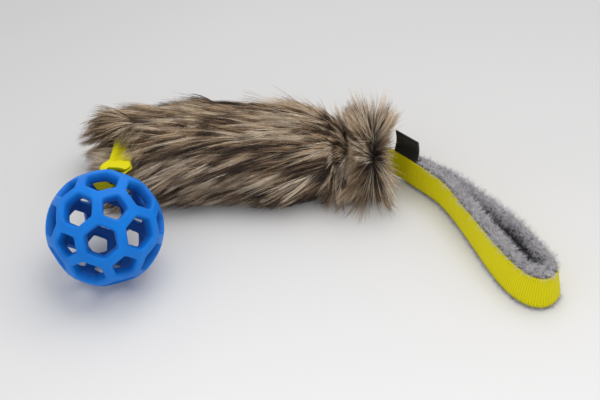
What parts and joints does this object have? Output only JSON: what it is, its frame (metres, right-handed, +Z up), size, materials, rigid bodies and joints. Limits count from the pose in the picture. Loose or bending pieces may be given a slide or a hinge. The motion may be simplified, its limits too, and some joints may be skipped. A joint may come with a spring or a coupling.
{
  "type": "dog tug toy",
  "caption": "Dog chew and tug toy: rubber lattice ball on a webbing strap, faux fur sleeve drawn in at one end, and a webbing hand loop lined with fleece.",
  "frame": {"origin": "on the floor plane, on the flat underside of the fur sleeve, under the middle of the sleeve", "axes": "+X along the sleeve from the ball end to the handle end, +Z up from the floor, and the ball and the hand loop both bend toward -Y"},
  "size_m": [0.3894, 0.206, 0.0876],
  "materials": {
    "blue_rubber": "satin moulded rubber",
    "yellow_webbing": "ribbed nylon webbing",
    "brown_fur": "long pile faux fur, streaked dark brown and tan",
    "grey_fleece": "curly pile fleece",
    "dark_thread": "waxed thread",
    "black_label": "woven satin tape"
  },
  "bodies": {
    "tail": {"fur_sleeve": "brown_fur", "core_strap": "yellow_webbing"},
    "ball_neck": {"ball_strap": "yellow_webbing"},
    "ball_link": {"ball_loop": "yellow_webbing"},
    "ball": {"ball": "blue_rubber"},
    "gather": {"gather_binding": "dark_thread"},
    "handle": {"fur_ruff": "brown_fur", "handle_webbing": "yellow_webbing", "fleece_lining": "grey_fleece"},
    "label": {"label_tab": "black_label"}
  },
  "joints": [
    {"name": "ball_swing", "type": "hinge", "parent": "tail", "child": "ball_neck", "pos_m": [-0.082, -0.005, 0.038], "axis": [0, 0, 1], "range_deg": [-85, 5]},
    {"name": "ball_lift", "type": "hinge", "parent": "ball_neck", "child": "ball_link", "pos_m": [-0.082, -0.031, 0.041], "axis": [-1, 0, 0], "range_deg": [-25, 60]},
    {"name": "ball_roll", "type": "hinge", "parent": "ball_link", "child": "ball", "pos_m": [-0.08508, -0.07954, 0.06271], "axis": [0.7561, -0.2732, 0.5947], "range_deg": [-30, 30]},
    {"name": "handle_swing", "type": "hinge", "parent": "tail", "child": "gather", "pos_m": [0.115, 0, 0.024], "axis": [0, 0, 1], "range_deg": [-28, 28]},
    {"name": "handle_lift", "type": "hinge", "parent": "gather", "child": "handle", "pos_m": [0.115, 0, 0.024], "axis": [0, -1, 0], "range_deg": [0, 40]},
    {"name": "label_flip", "type": "hinge", "parent": "handle", "child": "label", "pos_m": [0.15232, -0.00596, 0.02835], "axis": [0.7054, -0.7088, 0], "range_deg": [-40, 50], "stiffness_Nm_per_rad": 0.0005}
  ]
}
